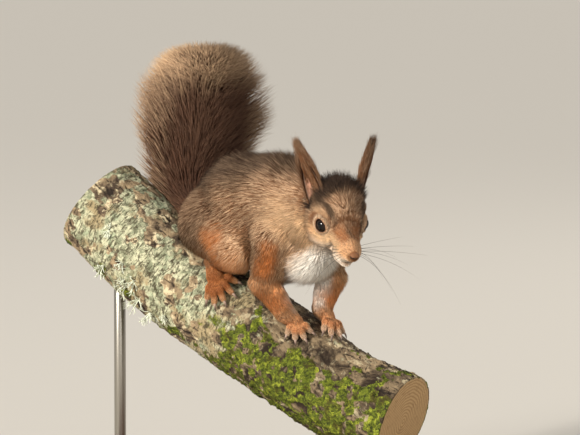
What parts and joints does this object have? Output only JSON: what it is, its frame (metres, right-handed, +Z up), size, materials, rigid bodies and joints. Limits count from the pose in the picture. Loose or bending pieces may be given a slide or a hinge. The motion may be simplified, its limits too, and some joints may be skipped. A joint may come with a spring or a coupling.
{
  "type": "red squirrel model",
  "caption": "Life-size still model of a Eurasian red squirrel standing head down on a sloping branch, held by a flat base with upright rods.",
  "frame": {"origin": "centre of the underside of the stand's base", "axes": "+Z up, -Y towards the front of the display, which the squirrel faces, +X to the right of someone who looks at that front"},
  "size_m": [0.2525, 0.1948, 0.3105],
  "materials": {
    "coat": "short grizzled brown fur, white on breast and throat",
    "tail_hair": "long dark brown hair with buff tips",
    "limb_fur": "short orange fur",
    "ear_fur": "thin skin with short dark fur and long tufts",
    "nose_skin": "bare moist skin",
    "eye": "black, glossy",
    "claw": "dark horn",
    "whisker": "stiff black hair",
    "bark": "rough flaking bark with grey-green lichen",
    "moss": "soft green moss and pale lichen",
    "board": "dark stained and satin varnished",
    "rod": "brushed"
  },
  "bodies": {
    "root": {"head": "coat", "neck": "coat", "trunk": "coat", "thigh_right": "coat", "thigh_left": "coat", "upper_arm_right": "coat", "upper_arm_left": "coat", "tail_root": "tail_hair", "tail_middle": "tail_hair", "tail_tip": "tail_hair", "forearm_right": "limb_fur", "forearm_left": "limb_fur", "shank_right": "limb_fur", "shank_left": "limb_fur", "forefoot_right": "limb_fur", "forefoot_left": "limb_fur", "hindfoot_right": "limb_fur", "hindfoot_left": "limb_fur", "ear_right": "ear_fur", "ear_left": "ear_fur", "nose": "nose_skin", "eye_right": "eye", "eye_left": "eye", "perch": "bark", "stand_base": "board", "stand_rod_rear": "rod", "stand_rod_front": "rod"}
  },
  "joints": []
}
